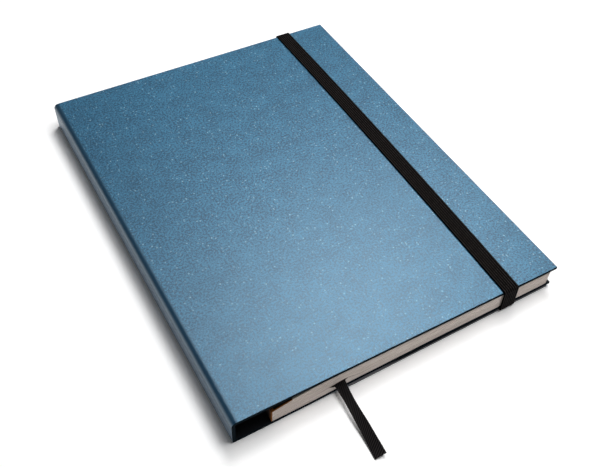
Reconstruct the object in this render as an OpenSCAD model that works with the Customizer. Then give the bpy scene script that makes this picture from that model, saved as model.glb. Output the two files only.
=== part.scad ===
// A closed notebook: a folded board cover with a free spine, a block of leaves glued to the back
// cover by its last leaf, a ribbon marker between the leaves and a flat elastic that holds it shut.
// X runs from the spine to the fore edge, Y from the tail to the head, Z up from the surface it lies on.

/* [Cover] */
// Height of the cover, from the tail to the head
cover_h = 210; // [120:1:320]
// Width of the front cover, from the spine's outer face to its fore edge
front_w = 163; // [156:1:240]
// How far the back cover's fore edge stays behind the front cover's
back_short = 1; // [0:0.5:4]
// Thickness of the board with the papers glued to both sides of it
board_t = 1.5; // [1:0.1:2]
// Height of the front cover's top above the surface at the spine
spine_h = 14.8; // [13:0.1:24]
// Height of the front cover's top above the surface at the fore edge
fore_h = 12.9; // [10:0.1:13]
// Outer radius of the fold between the spine and the front cover
top_fold_r = 2.4; // [2.1:0.1:4]
// Outer radius of the sharp fold between the spine and the back cover
low_fold_r = 0.6; // [0.3:0.1:0.9]
// Distance from the spine's outer face to where the back cover starts to rise onto the backing board
lift_x = 36; // [25:1:36]

/* [Backing board] */
// Width of the board that is glued under the back cover and carries the elastic
backer_w = 107; // [60:1:108]
// Thickness of the backing board
backer_t = 1.3; // [1.3:0.1:2]
// Share of that thickness that is left where it has been pressed down along its edge at the spine's side
backer_press = 0.65; // [0.5:0.05:0.9]
// How far its fore edge stays behind the back cover's
backer_short = 2; // [0:0.5:6]
// How far its lower edge slants back on the spine's side
backer_slant = 3; // [1:0.5:5]
// How much it is turned in its own plane, so that it shows at the tail
backer_turn = 0.35; // [0:0.05:0.4]

/* [Leaves] */
// Distance from the spine's outer face to the sewn edge of the leaves
sewn_x = 17.7; // [10:0.1:24]
// How far the leaves stay behind the front cover at the fore edge
fore_overhang = 3; // [1:0.5:8]
// How far the leaves stay behind the covers at the head and the tail
end_overhang = 0.2; // [0.2:0.1:4]
// Sections of folded sheets in the block
sections = 8; // [4:1:12]
// The most that the fore edge of one section stays behind another's
ragged = 0.7; // [0:0.1:1.5]
// How much lower the first leaf lies at the sewn edge than under the middle of the cover
pinch = 3.5; // [0:0.1:4]
// Width over which the leaves rise from the sewn edge to their full height
shoulder_w = 24; // [10:1:30]
// Air between the first leaf and the front cover
leaf_gap = 0.7; // [0.5:0.05:1]

/* [Hinge strip] */
// Thickness of the cloth strip on the sewn edge
strip_t = 0.4; // [0.2:0.1:0.8]
// Width of the strip's wing on the first leaf
strip_wing = 9; // [4:1:16]

/* [Elastic] */
// Width of the elastic
band_w = 8; // [5:0.5:12]
// Thickness of the elastic
band_t = 0.8; // [0.5:0.1:1.2]
// Distance from the elastic to the front cover's fore edge
band_from_fore = 22.2; // [12:0.1:32]
// Length of the elastic under the backing board, from its edge to its slot
tuck = 16; // [8:1:40]
// Length of each end of the elastic that is glued between the boards
anchor = 12; // [6:1:24]
// Air between the elastic and the boards that it passes
band_gap = 0.15; // [0.1:0.05:0.3]
// Radius of the elastic's outside where it turns round an edge
band_turn = 1.3; // [1.2:0.1:2]

/* [Ribbon] */
// Width of the ribbon
ribbon_w = 5.2; // [4:0.1:8]
// Thickness of the ribbon
ribbon_t = 0.3; // [0.2:0.05:0.5]
// Distance from the spine's outer face to the middle of the ribbon at the tail
ribbon_x = 49; // [44:0.5:60]
// Share of the leaves that lies under the ribbon
ribbon_level = 0.3; // [0.25:0.01:0.5]
// Air round the ribbon between the leaves
ribbon_gap = 0.15; // [0.1:0.05:0.3]
// Depth of the slit that the ribbon holds open at the tail
slit_depth = 9; // [4:1:20]

/* [Hidden] */
$fn = 48;

tail_y = -cover_h / 2;
head_y = cover_h / 2;
back_w = front_w - back_short;
backer_x1 = back_w - backer_short;
backer_x0 = backer_x1 - backer_w;
backer_full_x = backer_x0 + 0.4 * backer_w;
band_x1 = front_w - band_from_fore;
band_x0 = band_x1 - band_w;
slot_y = tail_y + tuck;
leaf_x1 = front_w - fore_overhang;
leaf_h = cover_h - 2 * end_overhang;

// The back cover lies flat behind the spine, bends up to the backing board's edge and lies on that.
function under(x) = lookup(x, [[lift_x, 0], [backer_x0, backer_press * backer_t], [backer_full_x, backer_t]]);
function bed(x) = under(x) + board_t;

// The front cover falls a little from the spine to the fore edge.
fall = (spine_h - fore_h) / (front_w - top_fold_r);
function roof(x) = spine_h - fall * (x - top_fold_r);

// The first leaf follows the front cover, and dips to the sewn edge.
function dip(x) = pinch * pow(max(0, 1 - (x - sewn_x) / shoulder_w), 1.5);
function first_leaf(x) = roof(x) - board_t - leaf_gap - dip(x);
function level(x, share) = bed(x) + share * (first_leaf(x) - bed(x));

shoulder_steps = 8;
shoulder = [for (i = [0:shoulder_steps]) sewn_x + shoulder_w * i / shoulder_steps];
function fore_edge(k) = leaf_x1 - ragged * (0.5 + 0.5 * sin(137 * k));

// The hidden run of the ribbon, from the glued end at the head to the slit at the tail.
ribbon_end = tail_y + end_overhang + slit_depth;
ribbon_root = [sewn_x + ribbon_w, head_y - end_overhang - ribbon_w];
ribbon_run = norm([ribbon_x - ribbon_root[0], ribbon_root[1] - ribbon_end]);
ribbon_turn = atan((ribbon_x - ribbon_root[0]) / (ribbon_root[1] - ribbon_end));
ribbon_z0 = level(ribbon_x, ribbon_level);
ribbon_z1 = level(ribbon_root[0], ribbon_level);
ribbon_fall = asin((ribbon_z0 - ribbon_z1) / ribbon_run);

// The free end of the ribbon, from the slit down to the surface, measured from the point of the tail's
// edge under the middle of the ribbon. It rolls about its own length, with its fore edge side up.
tail_start = [ribbon_x - front_w / 2, tail_y, 0];
tail_points = [[0, 9.2, 5.12], [0.36, 6.5, 5.12], [0.3, 3, 5.1], [0, 0, 5.1], [-0.25, -2.5, 5.05],
    [-0.45, -5.5, 5], [-0.68, -8.5, 4.85], [-0.87, -11.5, 4.6], [-0.97, -14.5, 4.25], [-1.01, -17.5, 3.85],
    [-1.06, -20.5, 3.4], [-1.15, -23.5, 2.9], [-1.24, -26.5, 2.3], [-1.32, -29.5, 1.75], [-1.4, -33, 1.15]];
tail_rolls = [0, 6, 18, 33, 46, 53, 56, 55, 52, 48, 44, 41, 36, 28, 18];
tail_route = [for (p = tail_points) tail_start + p];
tail_sides = 8;

module from_spine() {
    translate([-front_w / 2, 0, 0]) children();
}

// A profile in X and Z, carried along Y.
module along_y(y0, y1) {
    translate([0, y1, 0]) rotate([90, 0, 0]) linear_extrude(y1 - y0) children();
}

// An eighth of a bent board's ring, from one angle on, round the fold's centre.
module half_fold(radius, from) {
    reach = 2 * radius;
    intersection() {
        difference() {
            circle(radius);
            circle(radius - board_t);
        }
        polygon([[0, 0], reach * [cos(from), sin(from)], reach * [cos(from + 45), sin(from + 45)]]);
    }
}

// The pressed corner between the spine and the back cover, cut to one side of its mitre.
module low_fold(side) {
    intersection() {
        union() {
            translate([low_fold_r, 0]) square([board_t - low_fold_r, board_t]);
            translate([0, low_fold_r]) square([board_t, board_t - low_fold_r]);
            translate([low_fold_r, low_fold_r]) circle(low_fold_r);
        }
        polygon([[0, 0], [board_t, board_t], side]);
    }
}

module front_cover() {
    color("steelblue") from_spine() along_y(tail_y, head_y) {
        translate([top_fold_r, spine_h - top_fold_r]) half_fold(top_fold_r, 90);
        polygon([[top_fold_r, spine_h - board_t], [front_w, fore_h - board_t], [front_w, fore_h],
            [top_fold_r, spine_h]]);
    }
}

module spine_panel() {
    color("steelblue") from_spine() along_y(tail_y, head_y) {
        translate([top_fold_r, spine_h - top_fold_r]) half_fold(top_fold_r, 135);
        translate([0, board_t]) square([board_t, spine_h - top_fold_r - board_t]);
        low_fold([0, board_t]);
    }
}

module back_cover() {
    bends = [board_t, lift_x, backer_x0, backer_full_x, back_w];
    color("steelblue") from_spine() along_y(tail_y, head_y) {
        low_fold([board_t, 0]);
        polygon(concat([for (x = bends) [x, under(x)]], [for (i = [4:-1:0]) [bends[i], bed(bends[i])]]));
    }
}

// Each end of the elastic lies in a groove under the backing board, comes up through a slot, and is
// glued in a pocket against the back cover.
module backing_board() {
    gap_w = band_w + 2 * band_gap;
    edge_t = under(backer_x0);
    color("dimgray") from_spine() difference() {
        intersection() {
            along_y(tail_y - 2, head_y + 2) polygon([[backer_x0 + backer_slant, 0], [backer_x1 + 1, 0],
                [backer_x1 + 1, backer_t], [backer_full_x, backer_t], [backer_x0, edge_t],
                [backer_x0, edge_t / 2]]);
            translate([backer_x1, 0, -1]) rotate([0, 0, backer_turn])
                translate([-backer_w - 2, tail_y, 0]) cube([backer_w + 2, cover_h, backer_t + 2]);
        }
        for (side = [0, 1]) mirror([0, side, 0]) translate([band_x0 - band_gap, 0, 0]) {
            translate([0, tail_y - 2, -1]) cube([gap_w, 2, backer_t + 2]);
            translate([0, tail_y - 2, -1]) cube([gap_w, tuck + 2, band_t + band_gap + 1]);
            translate([0, slot_y - band_gap, -1]) cube([gap_w, band_t + 2 * band_gap, backer_t + 2]);
            translate([0, slot_y - band_gap, backer_t - band_t - 2 * band_gap])
                cube([gap_w, anchor + 2 * band_gap, backer_t]);
        }
    }
}

// The leaves lie on the back cover, dip to the sewn edge, and end in one step for each section.
module page_block() {
    below = [for (x = [sewn_x, lift_x, backer_x0, backer_full_x]) [x, bed(x)]];
    steps = [for (k = [0:sections - 1], j = [k, k + 1]) [fore_edge(k), level(fore_edge(k), j / sections)]];
    above = [for (i = [shoulder_steps:-1:0]) [shoulder[i], first_leaf(shoulder[i])]];
    color("antiquewhite") from_spine() difference() {
        along_y(-leaf_h / 2, leaf_h / 2) polygon(concat(below, steps, above));
        ribbon_channel();
        ribbon_slit();
    }
}

// Places a flat strip along the ribbon's hidden run, from the slit to the head.
module on_ribbon_run() {
    translate([ribbon_x, ribbon_end, ribbon_z0]) rotate([0, 0, ribbon_turn])
        rotate([-ribbon_fall, 0, 0]) children();
}

module ribbon_channel() {
    on_ribbon_run() translate([-ribbon_w / 2 - ribbon_gap, -ribbon_w, -ribbon_t / 2 - ribbon_gap])
        cube([ribbon_w + 2 * ribbon_gap, ribbon_run + ribbon_w + ribbon_gap, ribbon_t + 2 * ribbon_gap]);
}

// The leaves part where the rolled ribbon comes out, to a point on each side of it.
module ribbon_slit() {
    along_y(tail_y - 1, ribbon_end) translate([ribbon_x, ribbon_z0])
        polygon([[-ribbon_w / 2 - 2.6, 0.6], [-ribbon_w / 2 - 0.15, -1.65], [-ribbon_w / 2 + 0.9, -1.7],
            [ribbon_w / 2 + 0.3, -0.4], [ribbon_w / 2 + 1.8, 1.3], [ribbon_w / 2 - 0.3, 1.9],
            [-ribbon_w / 2, 1.3]]);
}

// Wraps the sewn edge, from the back cover up and over onto the first leaf.
module hinge_strip() {
    wing = [for (i = [0:4]) sewn_x + strip_wing * i / 4];
    over = [for (x = wing) [x, first_leaf(x)]];
    outside = [for (i = [4:-1:0]) [wing[i], first_leaf(wing[i]) + strip_t]];
    color("peru") from_spine() along_y(-leaf_h / 2, leaf_h / 2)
        polygon(concat([[sewn_x - strip_t, bed(sewn_x)], [sewn_x, bed(sewn_x)]], over, outside,
            [[sewn_x - strip_t, first_leaf(sewn_x)]]));
}

module rounded_square(size, radius) {
    translate([radius, 0]) square([size[0] - 2 * radius, size[1]]);
    translate([0, radius]) square([size[0], size[1] - 2 * radius]);
    for (x = [radius, size[0] - radius], y = [radius, size[1] - radius])
        translate([x, y]) circle(radius);
}

// A flat loop round the closed book, open underneath, with both ends turned up through the slots.
module elastic_band() {
    half = cover_h / 2 + band_gap + band_t;
    top = roof(band_x0) + band_gap + band_t;
    open_y = -slot_y - band_t;
    pad_top = backer_t - band_gap;
    color("black") from_spine() {
        translate([band_x0, 0, 0]) rotate([90, 0, 90]) linear_extrude(band_w) difference() {
            translate([-half, 0]) rounded_square([2 * half, top], band_turn);
            translate([band_t - half, band_t])
                rounded_square([2 * (half - band_t), top - 2 * band_t], band_turn - band_t);
            translate([-open_y, -1]) square([2 * open_y, band_t + 2]);
        }
        for (side = [0, 1]) mirror([0, side, 0]) translate([band_x0, slot_y, 0]) {
            cube([band_w, band_t, pad_top]);
            translate([0, 0, pad_top - band_t]) cube([band_w, anchor, band_t]);
        }
    }
}

module bookmark_ribbon() {
    color("black") from_spine() on_ribbon_run() translate([-ribbon_w / 2, 0, -ribbon_t / 2])
        cube([ribbon_w, ribbon_run, ribbon_t]);
}

// The rings of the flat cord along its route: eight points each, across the width and the thickness.
function heading(i) = let (a = tail_route[max(0, i - 1)], b = tail_route[min(len(tail_route) - 1, i + 1)])
    (b - a) / norm(b - a);
function tail_ring(i) = let (t = heading(i), level_side = cross([0, 0, 1], t) / norm(cross([0, 0, 1], t)),
    side = cos(tail_rolls[i]) * level_side + sin(tail_rolls[i]) * cross(t, level_side),
    out = cross(t, side),
    wide = ribbon_w / 2 / cos(180 / tail_sides), thick = ribbon_t / 2 / cos(180 / tail_sides))
    [for (k = [0:tail_sides - 1]) let (a = 360 * (k + 0.5) / tail_sides)
        tail_route[i] + wide * cos(a) * side + thick * sin(a) * out];

module ribbon_tail() {
    rings = len(tail_route);
    points = [for (i = [0:rings - 1]) each tail_ring(i)];
    sides = [for (i = [0:rings - 2], k = [0:tail_sides - 1])
        let (a = i * tail_sides + k, b = i * tail_sides + (k + 1) % tail_sides)
        [a, a + tail_sides, b + tail_sides, b]];
    first = [for (k = [0:tail_sides - 1]) k];
    last = [for (k = [tail_sides - 1:-1:0]) (rings - 1) * tail_sides + k];
    color("black") polyhedron(points, concat([first], sides, [last]));
}

front_cover();
spine_panel();
back_cover();
backing_board();
page_block();
hinge_strip();
elastic_band();
bookmark_ribbon();
ribbon_tail();
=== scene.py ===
import bpy
import numpy as np
from mathutils import Matrix, Vector


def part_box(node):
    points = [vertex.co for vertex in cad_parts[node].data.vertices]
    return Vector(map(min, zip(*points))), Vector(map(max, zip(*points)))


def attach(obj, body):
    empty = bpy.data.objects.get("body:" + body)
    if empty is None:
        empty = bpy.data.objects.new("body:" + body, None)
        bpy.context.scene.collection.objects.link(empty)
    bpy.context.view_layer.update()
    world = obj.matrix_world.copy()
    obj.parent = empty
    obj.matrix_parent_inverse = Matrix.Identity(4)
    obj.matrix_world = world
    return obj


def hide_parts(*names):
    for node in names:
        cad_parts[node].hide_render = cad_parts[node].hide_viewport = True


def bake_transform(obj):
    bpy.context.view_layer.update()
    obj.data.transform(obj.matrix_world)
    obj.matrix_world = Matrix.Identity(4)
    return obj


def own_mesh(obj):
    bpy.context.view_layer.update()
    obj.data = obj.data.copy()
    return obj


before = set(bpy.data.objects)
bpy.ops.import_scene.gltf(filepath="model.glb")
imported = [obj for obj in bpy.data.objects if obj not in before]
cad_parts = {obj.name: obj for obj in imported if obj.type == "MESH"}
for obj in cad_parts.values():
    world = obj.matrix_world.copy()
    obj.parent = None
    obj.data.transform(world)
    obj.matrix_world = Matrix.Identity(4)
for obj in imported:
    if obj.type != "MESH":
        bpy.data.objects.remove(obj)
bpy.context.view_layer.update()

# The camera looks down on the closed notebook from beyond its tail, on the spine's side. Its place and
# its lens were worked out from the corners of the front cover in a picture of 600 x 467 pixels.
camera = bpy.data.objects.new("camera", bpy.data.cameras.new("camera"))
bpy.context.collection.objects.link(camera)
camera.data.sensor_width = 36
camera.data.lens = 47.3084
camera_azimuth, camera_elevation, camera_roll = np.radians((-31.312, 49.275, 2.244))
camera_back = Vector((
    np.sin(camera_azimuth) * np.cos(camera_elevation),
    -np.cos(camera_azimuth) * np.cos(camera_elevation),
    np.sin(camera_elevation)))
level_right = Vector((0, 0, 1)).cross(camera_back).normalized()
level_up = camera_back.cross(level_right)
camera_right = level_right * np.cos(camera_roll) + level_up * np.sin(camera_roll)
camera_up = camera_back.cross(camera_right)
camera.rotation_euler = Matrix((camera_right, camera_up, camera_back)).transposed().to_euler()
camera.location = (-0.13375, -0.23529, 0.28831)
bpy.context.scene.camera = camera


# The free end of the ribbon marker: a flat woven ribbon of black polyester, cut straight across. It
# comes out between the leaves at the tail, rolls over to one side and comes down on the table.
MM = 0.001
front_low, front_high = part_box("front_cover")
tail_y, head_y = front_low.y, front_high.y
spine_x, fore_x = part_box("spine_panel")[0].x, front_high.x
ribbon_w = 5.2 * MM
ribbon_t = 0.3 * MM
ribbon_x = 49 * MM
ribbon_steps = 90
ribbon_start = np.array([spine_x + ribbon_x, tail_y, 0])
ribbon_points = ribbon_start + MM * np.array([
    [0, 9.2, 5.12], [0.36, 6.5, 5.12], [0.3, 3, 5.1], [0, 0, 5.1], [-0.25, -2.5, 5.05],
    [-0.45, -5.5, 5], [-0.68, -8.5, 4.85], [-0.87, -11.5, 4.6], [-0.97, -14.5, 4.25], [-1.01, -17.5, 3.85],
    [-1.06, -20.5, 3.4], [-1.15, -23.5, 2.9], [-1.24, -26.5, 2.3], [-1.32, -29.5, 1.75], [-1.4, -33, 1.15]])
ribbon_rolls = np.radians([0, 6, 18, 33, 46, 53, 56, 55, 52, 48, 44, 41, 36, 28, 18])


def colour(code):
    """An sRGB hex code as linear red, green, blue and alpha."""
    part = np.array([int(code[i:i + 2], 16) for i in (0, 2, 4)]) / 255
    linear = np.where(part <= 0.04045, part / 12.92, ((part + 0.055) / 1.055) ** 2.4)
    return (*linear.tolist(), 1)


def node(material, kind, settings=None, inputs=None, stops=()):
    """Adds a node of that kind with its settings, and gives each input a value or links a socket to it.
    A colour ramp also gets its stops, each a place from 0 to 1 and a hex code."""
    made = material.node_tree.nodes.new("ShaderNode" + kind)
    for name, value in (settings or {}).items():
        setattr(made, name, value)
    for name, value in (inputs or {}).items():
        if isinstance(value, bpy.types.NodeSocket):
            material.node_tree.links.new(value, made.inputs[name])
        else:
            made.inputs[name].default_value = value
    for index, (position, code) in zip((0, 1), stops[:1] + stops[-1:]):
        made.color_ramp.elements[index].position = position
        made.color_ramp.elements[index].color = colour(code)
    for position, code in stops[1:-1]:
        made.color_ramp.elements.new(position).color = colour(code)
    return made


def finish_of(name, **fixed):
    """A material that is one Principled shader with those fixed values, and that shader."""
    material = bpy.data.materials.new(name)
    material.use_nodes = True
    shader = material.node_tree.nodes["Principled BSDF"]
    for key, value in fixed.items():
        shader.inputs[key.replace("_", " ")].default_value = value
    return material, shader


def feed(shader, **sockets):
    """Links each socket to the shader's input of that name."""
    for key, socket in sockets.items():
        shader.id_data.links.new(socket, shader.inputs[key.replace("_", " ")])


def refinished(name, material):
    """Gives a CAD node that keeps its shape the finish of the real piece."""
    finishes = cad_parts[name].data.materials
    finishes.clear()
    finishes.append(material)


def wave_scale(pitch):
    """The scale at which a wave texture repeats at that pitch: it has 3.18 bands for each unit."""
    return 1 / pitch / 3.18


def curve_through(points, count):
    """A Catmull-Rom curve through the points: in each span, a cubic that leaves its first point and
    reaches its last one parallel to the line between the points on either side of it."""
    padded = np.vstack([2 * points[0] - points[1], points, 2 * points[-1] - points[-2]])
    t = np.linspace(0, len(points) - 1, count)
    i = np.minimum(t.astype(int), len(points) - 2)
    u = (t - i)[:, None]
    p0, p1, p2, p3 = padded[i], padded[i + 1], padded[i + 2], padded[i + 3]
    return 0.5 * (2 * p1 + (p2 - p0) * u + (2 * p0 - 5 * p1 + 4 * p2 - p3) * u ** 2
                  + (3 * p1 - p0 - 3 * p2 + p3) * u ** 3)


def unit(vectors):
    """Each vector divided by its own length."""
    return vectors / np.linalg.norm(vectors, axis=-1, keepdims=True)


def run_of(points):
    """The distance from the first point to each point, along the line through them."""
    return np.concatenate([[0], np.cumsum(np.linalg.norm(np.diff(points, axis=0), axis=1))])


def swept(path, sides, section):
    """A closed strap: the section's points, across and out of the path, are carried along it.
    A point is path + across * side + out * (heading x side). Its map holds across and along."""
    out = np.cross(unit(np.gradient(path, axis=0)), sides)
    points = path[:, None] + section[None, :, :1] * sides[:, None] + section[None, :, 1:] * out[:, None]
    rows, ring = points.shape[:2]
    index = np.arange(rows * ring).reshape(rows, ring)
    beside = np.roll(index, -1, axis=1)
    walls = np.stack([index[:-1], beside[:-1], beside[1:], index[1:]], axis=-1).reshape(-1, 4)
    across, along = np.broadcast_arrays(section[None, :, 0], run_of(path)[:, None])
    faces = walls.tolist() + [index[0, ::-1].tolist(), index[-1].tolist()]
    return points.reshape(-1, 3), faces, np.stack([across, along], axis=-1).reshape(-1, 2)


def piece(name, points, faces, flat_map, materials, kinds=None, crease=40):
    """A mesh object at the origin, with its flat map in metres, its materials and its sharp edges."""
    mesh = bpy.data.meshes.new(name)
    mesh.from_pydata(points.tolist(), [], faces)
    corner = np.empty(len(mesh.loops), np.int32)
    mesh.loops.foreach_get("vertex_index", corner)
    mesh.uv_layers.new(name="flat").data.foreach_set("uv", flat_map[corner].astype(np.float32).ravel())
    for material in materials:
        mesh.materials.append(material)
    if kinds is not None:
        mesh.polygons.foreach_set("material_index", np.asarray(kinds, np.int32))
    mesh.polygons.foreach_set("use_smooth", np.ones(len(mesh.polygons), bool))
    mesh.set_sharp_from_angle(angle=np.radians(crease))
    made = bpy.data.objects.new(name, mesh)
    bpy.context.collection.objects.link(made)
    return made


def rounded_strip(width, thickness, steps):
    """The outline of a flat strip with half-round edges: along the bottom, round the right edge, back
    along the top and round the left edge."""
    edge, half = thickness / 2, width / 2 - thickness / 2
    turn = np.radians(np.linspace(-90, 90, 5))
    flat = np.linspace(-half, half, steps)
    bottom = np.stack([flat, np.full(steps, -edge)], axis=1)
    right = np.stack([half + edge * np.cos(turn), edge * np.sin(turn)], axis=1)[1:-1]
    return np.concatenate([bottom, right, -bottom, -right])


# Woven polyester ribbon, dyed black: diagonal twill lines, broken up by the threads, with a slight
# silky gloss. The real twill is finer than a pixel, so its lines are drawn 0.9 mm apart.
twill_pitch = 0.9 * MM
twill_slant = np.radians(35)
ribbon_cloth, cloth_shader = finish_of("black_woven_ribbon", Roughness=0.5, IOR=1.5, Specular_IOR_Level=0.12)
cloth_uv = node(ribbon_cloth, "UVMap", {"uv_map": "flat"}).outputs["UV"]
cloth_turned = node(ribbon_cloth, "Mapping", None, {"Vector": cloth_uv, "Rotation": (0, 0, twill_slant)})
twill = node(ribbon_cloth, "TexWave", {"wave_type": "BANDS", "bands_direction": "Y"}, {
    "Vector": cloth_turned.outputs["Vector"], "Scale": wave_scale(twill_pitch),
    "Distortion": 0.6, "Detail": 1.0}).outputs["Fac"]
twill_tone = node(ribbon_cloth, "ValToRGB", None, {"Fac": twill}, [(0.35, "080708"), (1, "353132")])
twill_bump = node(ribbon_cloth, "Bump", None, {"Height": twill, "Strength": 0.5, "Distance": 0.06 * MM})
feed(cloth_shader, Base_Color=twill_tone.outputs["Color"], Normal=twill_bump.outputs["Normal"])

ribbon_line = curve_through(ribbon_points, ribbon_steps)
ribbon_heading = unit(np.gradient(ribbon_line, axis=0))
ribbon_level = unit(np.cross([0, 0, 1], ribbon_heading))
ribbon_turn = curve_through(ribbon_rolls[:, None], ribbon_steps)
ribbon_raised = np.cross(ribbon_heading, ribbon_level)
ribbon_sides = np.cos(ribbon_turn) * ribbon_level + np.sin(ribbon_turn) * ribbon_raised
ribbon_mesh = swept(ribbon_line, ribbon_sides, rounded_strip(ribbon_w, ribbon_t, steps=9))
ribbon = piece("ribbon_end", *ribbon_mesh, [ribbon_cloth])
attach(ribbon, "root")
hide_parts("ribbon_tail")
refinished("bookmark_ribbon", ribbon_cloth)


# The folded cover is one scored sheet of board: pearly blue paper outside, black paper inside, cut
# flush so that the dark board shows at its edges. Its fold at the front is soft and the one at the back
# is sharp, and the back cover rises onto the second board that is glued beneath it.
board_t = 1.5 * MM
board_edge_r = 0.15 * MM
board_margin = 0.4 * MM
top_fold_r = 2.4 * MM
low_fold_r = 0.6 * MM
low_inner_r = 0.2 * MM
fold_steps = 13
spine_h = front_high.z
half_spine = spine_h / 2
fore_h = front_low.z + board_t
back_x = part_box("back_cover")[1].x
lift_x = spine_x + 36 * MM
backer_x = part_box("backing_board")[0].x
backer_w = 107 * MM
backer_t = 1.3 * MM
backer_press = 0.65
backer_full_x = backer_x + 0.4 * backer_w


def under_back(x):
    """The underside of the back cover: on the table as far as lift_x, then up in a straight line to the
    second board's pressed edge, up in another to its full thickness, and level on it."""
    return np.interp(x, [lift_x, backer_x, backer_full_x], [0, backer_press * backer_t, backer_t])


def fold(centre, radius, start, end, steps):
    """An arc of a fold in X and Z, from one angle to another, in degrees."""
    turn = np.radians(np.linspace(start, end, steps))
    return np.array(centre) + radius * np.stack([np.cos(turn), np.sin(turn)], axis=1)


def straight(start, end, steps):
    """Evenly spaced points from start to end, without the last."""
    return np.linspace(start, end, steps, endpoint=False)


def with_margins(places, margin):
    """The same places with one more just inside each end, which keeps the shading of the edges narrow."""
    return np.unique(np.concatenate([places, [places[0] + margin, places[-1] - margin]]))


def slab(place, across, along, layers):
    """A closed slab. place(a, b, depth) gives its points for the distances a and b, and a depth from 0 to 1.
    A layer is a depth and four insets, at both ends across and both ends along. The top and bottom are
    grids, and the layers' rings join them. Kinds: 0 is the top, 1 the bottom and 2 the rim."""
    a, b = (x.ravel() for x in np.meshgrid(across, along, indexing="ij"))
    grid = np.arange(a.size).reshape(len(across), len(along))
    ring = np.concatenate([grid[:-1, 0], grid[-1, :-1], grid[:0:-1, -1], grid[0, :0:-1]])

    def drawn_in(layer, of):
        """The distances and the depth of those points in a layer, its outermost rows moved in by its insets."""
        low_a, high_a, low_b, high_b = layer[1:]
        new_a = a[of] + np.where(a[of] == across[0], low_a, 0) - np.where(a[of] == across[-1], high_a, 0)
        new_b = b[of] + np.where(b[of] == along[0], low_b, 0) - np.where(b[of] == along[-1], high_b, 0)
        return new_a, new_b, np.full(len(of), layer[0])

    everything = grid.ravel()
    parts = [drawn_in(layers[0], everything)]
    parts += [drawn_in(layer, ring) for layer in layers[1:-1]]
    parts.append(drawn_in(layers[-1], everything))
    a_all, b_all, depth = (np.concatenate(x) for x in zip(*parts))
    firsts = grid.size + len(ring) * np.arange(len(layers) - 2)
    bottom_first = firsts[-1] + len(ring)
    rings = np.vstack([ring, firsts[:, None] + np.arange(len(ring)), ring + bottom_first])
    ahead = np.roll(rings, -1, axis=1)
    top = np.stack([grid[:-1, :-1], grid[1:, :-1], grid[1:, 1:], grid[:-1, 1:]], axis=-1).reshape(-1, 4)
    rim = np.stack([rings[:-1], rings[1:], ahead[1:], ahead[:-1]], axis=-1).reshape(-1, 4)
    faces = np.vstack([top, top[:, ::-1] + bottom_first, rim])
    kinds = np.repeat([0, 1, 2], [len(top), len(top), len(rim)])
    return place(a_all, b_all, depth), faces.tolist(), np.stack([a_all, b_all], axis=1), kinds, depth


def board_piece(name, outer, inner, materials, open_start=False, open_end=False):
    """A board of the cover, from tail to head. Its edges are rounded by quarter circles, except at an open
    start or end, where the two halves of the cover meet."""
    run = run_of(outer)

    def place(a, b, depth):
        """In X and Z, outer + depth * (inner - outer) at the run a, and b in Y."""
        face, back = ([np.interp(a, run, line[:, i]) for i in (0, 1)] for line in (outer, inner))
        x, z = (near + depth * (far - near) for near, far in zip(face, back))
        return np.stack([x, b, z], axis=1)

    turn = np.radians(np.linspace(0, 90, 4))
    inset, depth = board_edge_r * (1 - np.sin(turn)), board_edge_r * (1 - np.cos(turn)) / board_t
    layers = [(d, 0 if open_start else i, 0 if open_end else i, i, i) for d, i in zip(depth, inset)]
    layers += [(1 - d, *rest) for d, *rest in layers[::-1]]
    along = with_margins(np.linspace(tail_y, head_y, 43), board_margin)
    points, faces, flat_map, kinds, _ = slab(place, with_margins(run, board_margin), along, layers)
    return piece(name, points, faces, flat_map, materials, kinds)


# Pearl paper: coated paper with fine mica in it. The real mica is finer than a pixel, so its grain is
# drawn about a millimetre wide, with brighter flecks two or three millimetres apart: the mica's lighter
# tone, with its glints painted into it. The coat has a broad bluish sheen towards the light. Painted
# shade darkens it along the upper fold and, faintly, over the cover near the spine, and on the spine's
# face a painted grey reflection of the white table lies strongest at its foot.
grain_size = 0.95 * MM
fleck_size = 1.6 * MM
cloud_size = 9 * MM
cloud_weight = 0.12
pearl_paper, pearl_shader = finish_of(
    "pearl_blue_paper", IOR=1.65, Specular_IOR_Level=1.0, Specular_Tint=(0.61, 0.83, 1, 1))
pearl_uv = node(pearl_paper, "UVMap", {"uv_map": "flat"}).outputs["UV"]
grain = node(pearl_paper, "TexNoise", None, {
    "Vector": pearl_uv, "Scale": 1 / grain_size, "Detail": 4.0, "Roughness": 0.8}).outputs["Fac"]
cloud = node(pearl_paper, "TexNoise", None, {
    "Vector": pearl_uv, "Scale": 1 / cloud_size, "Detail": 2.0, "Roughness": 0.5}).outputs["Fac"]
mottle = node(pearl_paper, "Math", {"operation": "MULTIPLY_ADD"}, {0: cloud, 1: cloud_weight, 2: grain})
mottle_share = node(pearl_paper, "MapRange", None, {
    "Value": mottle.outputs["Value"], "From Min": 0.5, "From Max": 0.62})
paper_tone = node(pearl_paper, "ValToRGB", None, {
    "Fac": mottle_share.outputs["Result"]}, [(0, "073a58"), (1, "3d83a8")])
# Brighter flecks: the mica's lighter tone, with its glints painted into it.
fleck_cell = node(pearl_paper, "TexVoronoi", {"feature": "F1"}, {"Vector": pearl_uv, "Scale": 1 / fleck_size})
fleck_spot = node(pearl_paper, "MapRange", None, {
    "Value": fleck_cell.outputs["Distance"], "From Min": 0.12, "From Max": 0.3, "To Min": 1.0, "To Max": 0.0})
fleck_pick = node(pearl_paper, "SeparateColor", None, {"Color": fleck_cell.outputs["Color"]})
fleck_some = node(pearl_paper, "MapRange", None, {
    "Value": fleck_pick.outputs["Red"], "From Min": 0.55, "From Max": 1.0})
fleck = node(pearl_paper, "Math", {"operation": "MULTIPLY"}, {
    0: fleck_spot.outputs["Result"], 1: fleck_some.outputs["Result"]})
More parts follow.
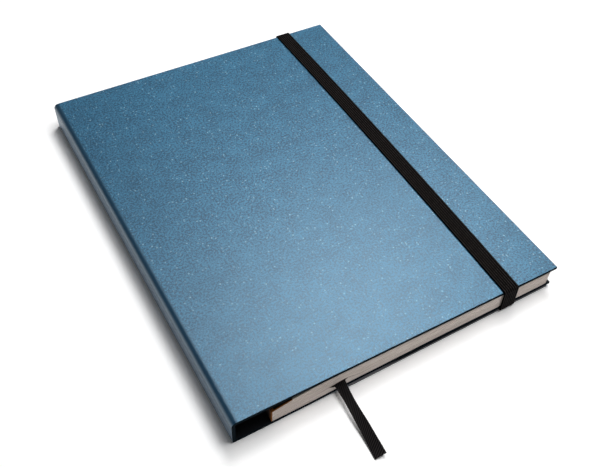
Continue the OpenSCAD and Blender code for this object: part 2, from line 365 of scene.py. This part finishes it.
# The boards' marks: a painted grey reflection on the spine's face and painted shade by the upper fold.
painted_spine_reflection = node(pearl_paper, "Attribute", {"attribute_name": "painted_spine_reflection"})
bent = node(pearl_paper, "Attribute", {"attribute_name": "bent"})
pearl_tone = paper_tone.outputs["Color"]
for share, tone in (
        (fleck.outputs["Value"], "9fc7d8"), (painted_spine_reflection.outputs["Fac"], "6c7480"), (bent.outputs["Fac"], "002f48")):
    pearl_tone = node(pearl_paper, "Mix", {"data_type": "RGBA"}, {
        "Factor": share, "A": pearl_tone, "B": colour(tone)}).outputs["Result"]
pearl_rough = node(pearl_paper, "MapRange", None, {
    "Value": grain, "From Min": 0.35, "From Max": 0.65, "To Min": 0.32, "To Max": 0.46})
pearl_bump = node(pearl_paper, "Bump", None, {"Height": grain, "Strength": 0.7, "Distance": 0.12 * MM})
feed(pearl_shader, Base_Color=pearl_tone, Roughness=pearl_rough.outputs["Result"],
     Normal=pearl_bump.outputs["Normal"])

# Black endpaper: uncoated, dyed through, nearly matt, with a faint felt grain of about 0.6 mm.
felt_size = 0.6 * MM
lining_paper, lining_shader = finish_of("black_lining_paper", Roughness=0.7, IOR=1.45)
lining_uv = node(lining_paper, "UVMap", {"uv_map": "flat"}).outputs["UV"]
felt = node(lining_paper, "TexNoise", None, {
    "Vector": lining_uv, "Scale": 1 / felt_size, "Detail": 4.0, "Roughness": 0.6}).outputs["Fac"]
lining_tone = node(lining_paper, "ValToRGB", None, {"Fac": felt}, [(0, "0c0d10"), (1, "1f2227")])
lining_bump = node(lining_paper, "Bump", None, {"Height": felt, "Strength": 0.3, "Distance": 0.03 * MM})
feed(lining_shader, Base_Color=lining_tone.outputs["Color"], Normal=lining_bump.outputs["Normal"])

# The board's cut edge: solid board dyed dark blue, with short fibres along the cut.
cut_fibre_size = 0.4 * MM
cut_board, cut_shader = finish_of("cut_edge_of_dark_board", Roughness=0.8, IOR=1.4, Specular_IOR_Level=0.06)
cut_at = node(cut_board, "TexCoord").outputs["Object"]
cut_fibre = node(cut_board, "TexNoise", None, {"Vector": cut_at, "Scale": 1 / cut_fibre_size, "Detail": 2.0})
cut_tone = node(cut_board, "ValToRGB", None, {
    "Fac": cut_fibre.outputs["Fac"]}, [(0, "030b11"), (1, "081a24")])
feed(cut_shader, Base_Color=cut_tone.outputs["Color"])


def back_outline(radius, lift):
    """The back cover's face at a height above its underside, then a corner of that radius and half the
    spine."""
    across = np.concatenate([
        straight(back_x, backer_full_x, 6), straight(backer_full_x, backer_x, 6),
        straight(backer_x, lift_x, 4)])
    corner = np.array([spine_x + lift + radius, lift + radius])
    return np.vstack([
        np.column_stack([across, under_back(across) + lift]),
        straight((lift_x, lift), (corner[0], lift), 8),
        fold(corner, radius, 270, 180, fold_steps)[:-1],
        np.linspace((corner[0] - radius, corner[1]), (corner[0] - radius, half_spine), 5)])


def front_outline(radius, lift):
    """Half the spine at a depth under its face, then a fold of that radius and the front cover to its
    fore edge, with its points closer together in the first twentieth of the cover."""
    corner = np.array([spine_x + top_fold_r, spine_h - top_fold_r])
    shares = np.concatenate([straight(0, 0.05, 10), np.linspace(0.05, 1, 20)])
    reach = (fore_x - corner[0]) * shares
    cover_top = np.column_stack([corner[0] + reach, spine_h - lift - (spine_h - fore_h) * shares])
    return np.vstack([
        straight((spine_x + lift, half_spine), (spine_x + lift, corner[1]), 4),
        fold(corner, radius, 180, 90, fold_steps)[:-1],
        cover_top])


cover_finishes = [pearl_paper, lining_paper, cut_board]
back_board = board_piece(
    "folded_cover_back", back_outline(low_fold_r, 0), back_outline(low_inner_r, board_t),
    cover_finishes, open_end=True)
front_board = board_piece(
    "folded_cover_front", front_outline(top_fold_r, 0), front_outline(top_fold_r - board_t, board_t),
    cover_finishes, open_start=True)

# The painted shade by the upper fold: a flat-topped band, exp(-distance ** 4), along the fold, and
# a wide faint bell, exp(-distance ** 2), over the cover. The painted grey reflection on the spine's face:
# 0.9 at the foot, 0.3 at the top, and nothing 0.8 mm further in.
band_middle, band_half, band_most = 1.1 * MM, 1.6 * MM, 0.97
bell_height, bell_width = 0.26, 38 * MM
grey_depth = 0.8 * MM
for board in (back_board, front_board):
    spots = np.empty(3 * len(board.data.vertices), np.float32)
    board.data.vertices.foreach_get("co", spots)
    inward, height = spots[0::3] - spine_x, spots[2::3] / spine_h
    band = np.exp(-((inward - band_middle) / band_half) ** 4)
    bell = bell_height * np.exp(-(inward / bell_width) ** 2)
    fold_shade_share = np.clip(band + bell, 0, band_most) * (height > 0.6)
    grey = np.clip(1 - inward / grey_depth, 0, 1) * (0.9 - 0.6 * height)
    for mark, value in (("bent", fold_shade_share), ("painted_spine_reflection", grey)):
        board.data.attributes.new(mark, "FLOAT", "POINT").data.foreach_set("value", value.astype(np.float32))
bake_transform(back_board)
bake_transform(front_board)
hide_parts("back_cover", "spine_panel")
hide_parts("front_cover")


# The second board, glued under the back cover: grey board between two sheets of black paper, which
# shows as a grey line along its edges, with short fibres. It has a slot and a pocket for each end of
# the elastic.
grey_fibre_size = MM / 1.8
grey_board, grey_shader = finish_of("grey_board_between_black_papers", Roughness=0.8, IOR=1.45)
grey_at = node(grey_board, "TexCoord").outputs["Object"]
grey_height = node(grey_board, "SeparateXYZ", None, {"Vector": grey_at})
grey_share = node(grey_board, "MapRange", None, {"Value": grey_height.outputs["Z"], "From Max": backer_t})
grey_layers = node(grey_board, "ValToRGB", None, {"Fac": grey_share.outputs["Result"]}, [
    (0, "0d0e11"), (0.16, "0d0e11"), (0.24, "6a6a6e"), (0.78, "6a6a6e"), (0.86, "0d0e11"), (1, "0d0e11")])
grey_fibre = node(grey_board, "TexNoise", None, {
    "Vector": grey_at, "Scale": 1 / grey_fibre_size, "Detail": 3.0})
grey_bump = node(grey_board, "Bump", None, {
    "Height": grey_fibre.outputs["Fac"], "Strength": 0.4, "Distance": 0.05 * MM})
feed(grey_shader, Base_Color=grey_layers.outputs["Color"], Normal=grey_bump.outputs["Normal"])
refinished("backing_board", grey_board)


# The leaves: sewn sections of cream paper, glued to the back cover. Each sheet ends a little before or
# behind the next, the sections step at the fore edge, and the ribbon parts the leaves at the tail. One
# drawn sheet stands for three of the real ones.
sewn_x = spine_x + 17.7 * MM
leaf_fore = fore_x - 3 * MM
leaf_tail = tail_y + 0.2 * MM
leaf_head = head_y - 0.2 * MM
leaf_gap = 0.7 * MM
leaf_margin = 0.3 * MM
pinch = 3.5 * MM
shoulder_w = 24 * MM
cover_fall = (spine_h - fore_h) / (fore_x - spine_x - top_fold_r)
sections = 8
sheets_in_section = 8
sheet_count = sections * sheets_in_section
sheet_share = 0.96
step_back = 0.7 * MM
step_turn = 137
fore_uneven = 0.12 * MM
end_uneven = 0.1 * MM
ribbon_share = 0.3
ribbon_count = int(sheet_count * ribbon_share)
slit_depth = 11 * MM
slit_places = np.array([-11, -5.2, -1.9, -0.8, 0.6, 2.2, 3.8, 7, 10.3, 18]) * MM + ribbon_start[0]
slit_floor = np.array([5.65, 3.6, 3.5, 4.2, 5.3, 6.55, 5.6, 4.88]) * MM
slit_roof = np.array([5.7, 6.2, 6.5, 6.65, 6.8, 6.7, 5.7, 4.9]) * MM
slit_fine = np.array([-7, 11]) * MM + ribbon_start[0]


def bed(x):
    """The inner face of the back cover."""
    return under_back(x) + board_t


def first_leaf(x):
    """The top leaf: a gap under the front cover, and lower towards the sewn edge by the pinch times the
    power 1.5 of the share of the shoulder that is left."""
    roof = spine_h - cover_fall * (x - spine_x - top_fold_r)
    near = np.clip(1 - (x - sewn_x) / shoulder_w, 0, 1)
    return roof - board_t - leaf_gap - pinch * near ** 1.5


def ribbon_leaf(x):
    """The leaf on which the ribbon lies, at a fixed share of the way from the bed to the first leaf."""
    return bed(x) + ribbon_share * (first_leaf(x) - bed(x))


def parted(x, y, heights):
    """The ribbon's leaf, drawn at the tail to the heights given at the slit's places. Further in, it
    comes back to its own level by the power 0.8 of the share of the slit's depth that is left."""
    level = ribbon_leaf(x)
    first, last = ribbon_leaf(slit_places[[0, -1]])
    drawn = np.interp(x, slit_places, [first, *heights, last])
    drawn = np.where((x > slit_places[0]) & (x < slit_places[-1]), drawn, level)
    return level + (drawn - level) * np.clip(1 - (y - leaf_tail) / slit_depth, 0, 1) ** 0.8


def sheet_layers(first, last):
    """The layers of the sheets from one count to another, top sheet first, each with its own insets. A
    section steps back by 0.5 + 0.5 sin(137 degrees times its number) of the most."""
    chance = np.random.default_rng(5)
    spread = chance.random((sheet_count, 4))
    count = np.arange(first, last)
    layers = []
    for k, sheet in enumerate(count[::-1]):
        step = step_back * (0.5 + 0.5 * np.sin(np.radians(step_turn * (sheet // sheets_in_section))))
        insets = (0.0, step + fore_uneven * spread[sheet, 1], *(end_uneven * spread[sheet, 2:]))
        layers += [(k / len(count), *insets), ((k + sheet_share) / len(count), *insets)]
    return layers[:-1] + [(1.0, *insets)]


def leaf_stack(name, under, over, first, last, parted_kind):
    """A closed stack of leaves between two surfaces, with the height of each point as a share of the block.
    The face of that kind is the one that lies against the other stack, and is dark where they part."""

    def place(a, b, depth):
        """Over + depth * (under - over) in Z, at a in X and b in Y."""
        low, high = under(a, b), over(a, b)
        return np.stack([a, b, high + depth * (low - high)], axis=1)

    across = np.concatenate([
        straight(sewn_x, slit_fine[0], 12), straight(slit_fine[0], slit_fine[1], 45),
        np.linspace(slit_fine[1], leaf_fore, 40)])
    along = np.unique(np.concatenate([
        np.linspace(leaf_tail, leaf_tail + slit_depth, 10),
        np.linspace(leaf_tail + slit_depth, leaf_head, 30)]))
    points, faces, flat_map, kinds, depth = slab(
        place, with_margins(across, leaf_margin), with_margins(along, leaf_margin), sheet_layers(first, last))
    finish = np.where(kinds == 2, 1, np.where(kinds == parted_kind, 2, 0))
    made = piece(name, points, faces, flat_map, [leaf_face, leaf_edge, parted_face], finish, crease=20)
    share = (last - depth * (last - first)) / sheet_count
    made.data.attributes.new("leaf", "FLOAT", "POINT").data.foreach_set("value", share.astype(np.float32))
    return made


# Cream book paper seen on its face: smooth, matt and faintly mottled by its fibres.
leaf_fibre_size = MM / 0.9
leaf_face, face_shader = finish_of("cream_book_paper", Roughness=0.8, IOR=1.45)
face_at = node(leaf_face, "TexCoord").outputs["Object"]
face_fibre = node(leaf_face, "TexNoise", None, {
    "Vector": face_at, "Scale": 1 / leaf_fibre_size, "Detail": 4.0})
face_tone = node(leaf_face, "ValToRGB", None, {
    "Fac": face_fibre.outputs["Fac"]}, [(0, "e6dccb"), (1, "f0e8da")])
feed(face_shader, Base_Color=face_tone.outputs["Color"])

# The same paper seen on its cut edges: thin lines of light and shadow along the sheets.
streak_length = 25 * MM
streaks_in_block = 70.0
leaf_edge, edge_shader = finish_of("cut_edges_of_leaves", Roughness=0.9, IOR=1.4)
edge_at = node(leaf_edge, "TexCoord").outputs["Object"]
edge_leaf = node(leaf_edge, "Attribute", {"attribute_name": "leaf"}).outputs["Fac"]
edge_run = node(leaf_edge, "VectorMath", {"operation": "SCALE"}, {0: edge_at, "Scale": 1 / streak_length})
edge_level = node(leaf_edge, "Math", {"operation": "MULTIPLY"}, {0: edge_leaf, 1: streaks_in_block})
edge_lift = node(leaf_edge, "CombineXYZ", None, {"Z": edge_level.outputs["Value"]})
edge_place = node(leaf_edge, "VectorMath", {"operation": "ADD"}, {
    0: edge_run.outputs["Vector"], 1: edge_lift.outputs["Vector"]})
edge_lines = node(leaf_edge, "TexNoise", None, {
    "Vector": edge_place.outputs["Vector"], "Scale": 1.0, "Detail": 2.0})
edge_tone = node(leaf_edge, "ValToRGB", None, {
    "Fac": edge_lines.outputs["Fac"]}, [(0.3, "d6c5ba"), (0.62, "fff5ee")])
feed(edge_shader, Base_Color=edge_tone.outputs["Color"])

# Where the ribbon parts the leaves, no light reaches in between them, and the slit looks black.
parted_face, parted_shader = finish_of("shade_between_leaves", Roughness=0.9, IOR=1.4, Specular_IOR_Level=0.1)
parted_at = node(parted_face, "TexCoord").outputs["Object"]
parted_fibre = node(parted_face, "TexNoise", None, {
    "Vector": parted_at, "Scale": 1 / leaf_fibre_size, "Detail": 3.0})
parted_tone = node(parted_face, "ValToRGB", None, {
    "Fac": parted_fibre.outputs["Fac"]}, [(0, "0e0b09"), (1, "1c1713")])
feed(parted_shader, Base_Color=parted_tone.outputs["Color"])

leaves_under = leaf_stack(
    "leaves_under_ribbon", lambda x, y: bed(x), lambda x, y: parted(x, y, slit_floor), 0, ribbon_count, 0)
leaves_over = leaf_stack(
    "leaves_over_ribbon", lambda x, y: parted(x, y, slit_roof), lambda x, y: first_leaf(x),
    ribbon_count, sheet_count, 1)
for leaves in (leaves_under, leaves_over):
    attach(leaves, "root")
    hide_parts("page_block")


# A strip of orange-brown book cloth is glued round the sewn edge of the leaves and a little way onto
# the first leaf. The cover keeps it in shade, so it is dark on the leaf and further in from its ends.
# Its threads are drawn 0.5 mm apart, so that they show.
thread_pitch = 0.5 * MM
strip_cloth, strip_shader = finish_of("orange_brown_book_cloth", Roughness=0.85, IOR=1.45)
strip_at = node(strip_cloth, "TexCoord").outputs["Object"]
threads = [node(strip_cloth, "TexWave", {"wave_type": "BANDS", "bands_direction": way}, {
    "Vector": strip_at, "Scale": wave_scale(thread_pitch), "Distortion": 0.8, "Detail": 1.0}).outputs["Fac"]
    for way in "XY"]
weave = node(strip_cloth, "Math", {"operation": "MULTIPLY"}, {0: threads[0], 1: threads[1]}).outputs["Value"]
weave_tone = node(strip_cloth, "ValToRGB", None, {"Fac": weave}, [(0, "7a4417"), (1, "b87632")])
strip_axes = node(strip_cloth, "SeparateXYZ", None, {"Vector": strip_at}).outputs
wing = node(strip_cloth, "MapRange", {"interpolation_type": "SMOOTHSTEP"}, {
    "Value": strip_axes["X"], "From Min": sewn_x + 0.6 * MM, "From Max": sewn_x + 1.1 * MM})
from_tail = node(strip_cloth, "MapRange", None, {
    "Value": strip_axes["Y"], "From Min": leaf_tail + 0.2 * MM, "From Max": leaf_tail + 0.5 * MM})
from_head = node(strip_cloth, "MapRange", None, {
    "Value": strip_axes["Y"], "From Min": leaf_head - 0.2 * MM, "From Max": leaf_head - 0.5 * MM})
wing_long = node(strip_cloth, "Math", {"operation": "MULTIPLY"}, {
    0: from_tail.outputs["Result"], 1: from_head.outputs["Result"]})
wing_dark = node(strip_cloth, "Math", {"operation": "MULTIPLY"}, {
    0: wing.outputs["Result"], 1: wing_long.outputs["Value"]})
from_middle = node(strip_cloth, "Math", {"operation": "ABSOLUTE"}, {0: strip_axes["Y"]})
deep = node(strip_cloth, "MapRange", {"interpolation_type": "SMOOTHSTEP"}, {
    "Value": from_middle.outputs["Value"], "From Min": head_y - 0.3 * MM, "From Max": head_y - 2.6 * MM})
strip_dark = node(strip_cloth, "Math", {"operation": "MAXIMUM"}, {
    0: wing_dark.outputs["Value"], 1: deep.outputs["Result"]})
strip_tone = node(strip_cloth, "Mix", {"data_type": "RGBA"}, {
    "Factor": strip_dark.outputs["Value"], "A": weave_tone.outputs["Color"], "B": colour("1d1009")})
strip_bump = node(strip_cloth, "Bump", None, {"Height": weave, "Strength": 0.5, "Distance": 0.08 * MM})
feed(strip_shader, Base_Color=strip_tone.outputs["Result"], Normal=strip_bump.outputs["Normal"])
refinished("hinge_strip", strip_cloth)


# The elastic: a flat braid of covered rubber threads, eight millimetres wide, which runs over the
# front cover and round the head and tail. Over the cover it slants a little and bows by a millimetre
# towards the fore edge. Each end goes up through its slot in the second board.
elastic_low, elastic_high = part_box("elastic_band")
elastic_t = 0.8 * MM
elastic_gap = 0.15 * MM
elastic_tuck = 16 * MM
elastic_anchor = 12 * MM
elastic_slant = 1.5 / 210
elastic_bow_mid = 1.0 * MM
slot_bend_r = 0.45 * MM
edge_bend_r = 0.9 * MM
rib_count = 7
rib_steps = 8
rib_height = 0.2 * MM
elastic_w = elastic_high.x - elastic_low.x
elastic_mid = (elastic_low.x + elastic_high.x) / 2
elastic_top = elastic_high.z - elastic_t / 2
elastic_end = -elastic_low.y - elastic_t / 2
elastic_slot = -tail_y - elastic_tuck - elastic_t / 2
elastic_pad = backer_t - elastic_gap - elastic_t / 2


def rounded_line(corners, radii, steps):
    """A line through corners in Y and Z, each rounded by an arc that meets both of its sides."""
    line = [corners[0][None]]
    for before, at, after, radius in zip(corners, corners[1:], corners[2:], radii):
        come, go = unit(at - before), unit(after - at)
        centre = at + radius * (go - come)
        turn = np.linspace(0, np.pi / 2, steps)[:, None]
        line.append(centre - radius * go * np.cos(turn) + radius * come * np.sin(turn))
    return np.vstack(line + [corners[-1][None]])


def filled(line, spacing):
    """The same line with more points, so that none are further apart than the spacing."""
    run = run_of(line)
    extra = np.arange(0, run[-1], spacing)
    places = np.unique(np.concatenate([run, extra]).round(9))
    return np.stack([np.interp(places, run, line[:, i]) for i in range(line.shape[1])], axis=1)


def ribbed(width, thickness):
    """The outline of a ribbed braid: half its thickness at each rib's crest, and less by the rib's height
    times 1 - the square root of |sin| across the rib, so that a sharp groove lies between two ribs."""
    place = np.linspace(-1, 1, rib_count * rib_steps + 1)
    crest = np.sqrt(np.abs(np.sin(np.pi * rib_count * (place + 1) / 2)))
    face = np.stack([place * width / 2, thickness / 2 - rib_height * (1 - crest)], axis=1)
    return np.vstack([face * [1, -1], face[::-1]])


half_loop = np.array([
    [elastic_slot - elastic_anchor, elastic_pad], [elastic_slot, elastic_pad], [elastic_slot, elastic_t / 2],
    [elastic_end, elastic_t / 2], [elastic_end, elastic_top]])
loop = np.vstack([half_loop * [-1, 1], half_loop[::-1]])
loop_radii = [slot_bend_r] * 2 + [edge_bend_r] * 4 + [slot_bend_r] * 2
elastic_line = filled(rounded_line(loop, loop_radii, 7), 1.5 * MM)
elastic_path = np.column_stack([np.full(len(elastic_line), elastic_mid), elastic_line])
elastic_sides = np.tile([1.0, 0, 0], (len(elastic_path), 1))
elastic_points, elastic_faces, elastic_map = swept(elastic_path, elastic_sides, ribbed(elastic_w, elastic_t))
raised = np.clip(elastic_points[:, 2] / elastic_top, 0, 1)
elastic_points[:, 2] -= cover_fall * (elastic_points[:, 0] - elastic_low.x) * raised
elastic_bow = elastic_bow_mid * (1 - (elastic_points[:, 1] / elastic_end) ** 2)
elastic_points[:, 0] += (elastic_slant * elastic_points[:, 1] + elastic_bow) * raised

# Covered rubber thread: matt black polyester wound round rubber. Its ribs are painted a little lighter
# than the grooves between them, as painted light on the crests and painted shade in the grooves. The
# winding is finer than a pixel, so it is drawn 0.6 mm apart.
wind_pitch = 0.6 * MM
braid_fibre_size = MM / 1.4
elastic_braid, braid_shader = finish_of(
    "black_braided_elastic", Roughness=0.8, IOR=1.5, Specular_IOR_Level=0.03)
braid_uv = node(elastic_braid, "UVMap", {"uv_map": "flat"}).outputs["UV"]
braid_axes = node(elastic_braid, "SeparateXYZ", None, {"Vector": braid_uv}).outputs
rib_phase = node(elastic_braid, "Math", {"operation": "MULTIPLY"}, {
    0: braid_axes["X"], 1: rib_count * np.pi / elastic_w})
rib_wave = node(elastic_braid, "Math", {"operation": "COSINE"}, {0: rib_phase.outputs["Value"]})
rib_open = node(elastic_braid, "Math", {"operation": "ABSOLUTE"}, {0: rib_wave.outputs["Value"]})
rib_crest = node(elastic_braid, "Math", {"operation": "POWER"}, {0: rib_open.outputs["Value"], 1: 3.0})
braid_fibre = node(elastic_braid, "TexNoise", None, {
    "Vector": braid_uv, "Scale": 1 / braid_fibre_size, "Detail": 2.0})
# Painted light on the rib crests and painted shade in the grooves between them.
braid_share = node(elastic_braid, "Math", {"operation": "MULTIPLY"}, {
    0: rib_crest.outputs["Value"], 1: braid_fibre.outputs["Fac"]})
braid_tone = node(elastic_braid, "ValToRGB", None, {
    "Fac": braid_share.outputs["Value"]}, [(0, "020202"), (0.2, "070504"), (0.6, "3a3635")])
winding = node(elastic_braid, "TexWave", {"wave_type": "BANDS", "bands_direction": "Y"}, {
    "Vector": braid_uv, "Scale": wave_scale(wind_pitch), "Distortion": 1.5, "Detail": 1.0})
braid_bump = node(elastic_braid, "Bump", None, {
    "Height": winding.outputs["Fac"], "Strength": 0.4, "Distance": 0.06 * MM})
feed(braid_shader, Base_Color=braid_tone.outputs["Color"], Normal=braid_bump.outputs["Normal"])
elastic = piece("elastic_strap", elastic_points, elastic_faces, elastic_map, [elastic_braid], crease=60)
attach(elastic, "root")
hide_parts("elastic_band")
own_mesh(elastic)


# The table is plain and white, and keeps the notebook's shadow. What the camera sees of it, directly or
# mirrored, is a little brighter than the light it returns, and turns to even white further out.
table_half = 20
table_level = -0.02 * MM
table_corners = [
    (x * table_half, y * table_half, table_level) for x, y in ((-1, -1), (1, -1), (1, 1), (-1, 1))]
table_mesh = bpy.data.meshes.new("table")
table_mesh.from_pydata(table_corners, [], [(0, 1, 2, 3)])
table = bpy.data.objects.new("table", table_mesh)
bpy.context.collection.objects.link(table)


def seen_rays(material):
    """Two factors: 1 for what the camera sees, directly, mirrored or through glass, and 0 for other light,
    and 1 for what it sees directly alone."""
    rays = node(material, "LightPath").outputs
    mirrored = node(material, "Math", {"operation": "MAXIMUM"}, {
        0: rays["Is Glossy Ray"], 1: rays["Is Transmission Ray"]})
    either = node(material, "Math", {"operation": "MAXIMUM"}, {
        0: rays["Is Camera Ray"], 1: mirrored.outputs["Value"]})
    return either.outputs["Value"], rays["Is Camera Ray"]


table_white = bpy.data.materials.new("white_table")
table_white.use_nodes = True
table_white.node_tree.nodes.remove(table_white.node_tree.nodes["Principled BSDF"])
table_lit, table_full, table_more = (
    node(table_white, "BsdfDiffuse", None, {"Color": (white, white, white, 1)}).outputs["BSDF"]
    for white in (0.85, 1, 0.2))
table_near = node(table_white, "AddShader", None, {0: table_full, 1: table_more})
table_far = node(table_white, "Emission", None, {"Color": (1, 1, 1, 1)})
table_at = node(table_white, "TexCoord").outputs["Object"]
table_reach = node(table_white, "VectorMath", {"operation": "LENGTH"}, {0: table_at})
table_out = node(table_white, "MapRange", {"interpolation_type": "SMOOTHSTEP"}, {
    "Value": table_reach.outputs["Value"], "From Min": 0.2, "From Max": 0.5})
table_shown = node(table_white, "MixShader", None, {
    0: table_out.outputs["Result"], 1: table_near.outputs["Shader"], 2: table_far.outputs["Emission"]})
table_mix = node(table_white, "MixShader", None, {
    0: seen_rays(table_white)[0], 1: table_lit, 2: table_shown.outputs["Shader"]})
feed(table_white.node_tree.nodes["Material Output"], Surface=table_mix.outputs["Shader"])
table_mesh.materials.append(table_white)


# Two round soft lamps hang on the fore-edge side: a small one towards the head, which gives the sheen,
# and a wide one that fills the shadows and is too even to be mirrored. The camera sees a white room,
# and so does what mirrors it low down, but its ceiling is dim.
for lamp_name, lamp_place, lamp_size, lamp_power in (
        ("sheen_lamp", Vector((0.51, 0.51, 1.3)), 0.5, 8.4),
        ("fill_lamp", Vector((0.4, -0.12, 1.3)), 0.85, 11.0)):
    lamp = bpy.data.objects.new(lamp_name, bpy.data.lights.new(lamp_name, "AREA"))
    bpy.context.collection.objects.link(lamp)
    lamp.data.shape = "DISK"
    lamp.data.size = lamp_size
    lamp.data.energy = lamp_power
    lamp.location = lamp_place
    lamp.rotation_euler = lamp_place.to_track_quat("Z", "Y").to_euler()
    lamp.visible_glossy = lamp_name == "sheen_lamp"

room = bpy.data.worlds.new("room")
bpy.context.scene.world = room
room.use_nodes = True
room_at = node(room, "TexCoord").outputs["Generated"]
room_height = node(room, "SeparateXYZ", None, {"Vector": room_at})
room_ceiling = node(room, "MapRange", {"interpolation_type": "SMOOTHSTEP"}, {
    "Value": room_height.outputs["Z"], "From Min": 0.0, "From Max": 0.12})
room_seen, room_camera = seen_rays(room)
room_low = node(room, "Math", {"operation": "SUBTRACT"}, {0: room_seen, 1: room_ceiling.outputs["Result"]})
room_white = node(room, "Math", {"operation": "MAXIMUM"}, {0: room_camera, 1: room_low.outputs["Value"]})
room_level = node(room, "MapRange", None, {
    "Value": room_white.outputs["Value"], "To Min": 0.1, "To Max": 1.0})
room.node_tree.nodes["Background"].inputs["Color"].default_value = (1, 1, 1, 1)
feed(room.node_tree.nodes["Background"], Strength=room_level.outputs["Result"])
bpy.context.scene.view_settings.view_transform = "Standard"
